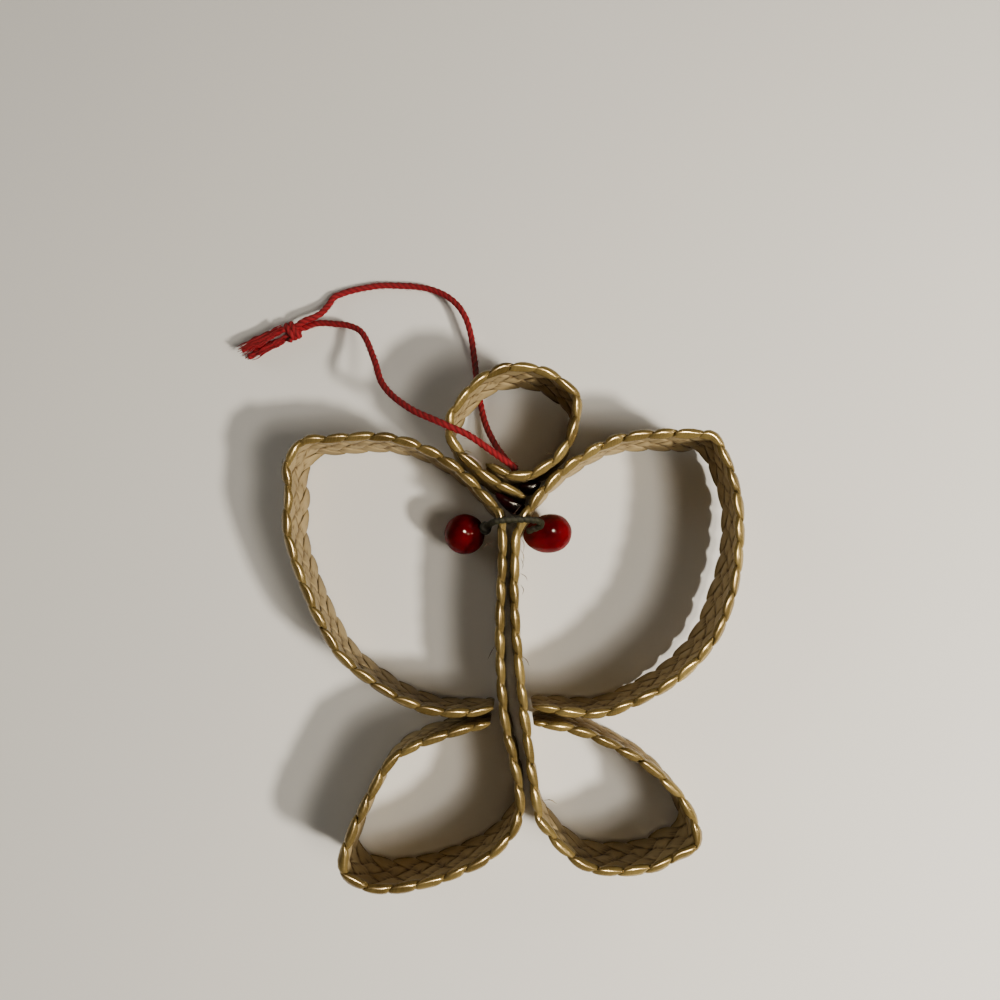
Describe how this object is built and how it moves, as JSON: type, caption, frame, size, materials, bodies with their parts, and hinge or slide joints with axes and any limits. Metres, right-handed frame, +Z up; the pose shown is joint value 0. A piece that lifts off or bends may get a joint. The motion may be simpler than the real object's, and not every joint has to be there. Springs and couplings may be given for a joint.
{
  "type": "straw ornament",
  "caption": "Hanging ornament of plaited straw bands set on edge, bent to a winged outline under a head ring, with red berries on green wire and a red cord loop.",
  "frame": {"origin": "middle of the ornament's plan outline without its cord, at the surface it lies on", "axes": "+Y towards the head ring, +Z up through the width of the bands, +X to the right seen from above with the head ring away"},
  "size_m": [0.0984, 0.116, 0.0158],
  "materials": {
    "straw_left": "satin golden plaited straw",
    "straw_right": "satin golden plaited straw",
    "straw_ring": "satin golden plaited straw",
    "glue": "glossy dark set glue",
    "berry_lacquer": "glossy deep red lacquer",
    "green_wrap": "matt dark green wrapped wire",
    "red_cord": "matt red twisted cotton"
  },
  "bodies": {
    "root": {"left_band": "straw_left", "right_band": "straw_right", "head_ring": "straw_ring", "glue_pad_v": "glue", "glue_pad_ring": "glue", "berry_left": "berry_lacquer", "berry_right": "berry_lacquer", "berry_wire": "green_wrap", "cord_leg_a": "red_cord", "cord_leg_b": "red_cord", "cord_knot": "red_cord", "cord_tail_a": "red_cord", "cord_tail_b": "red_cord"}
  },
  "joints": []
}
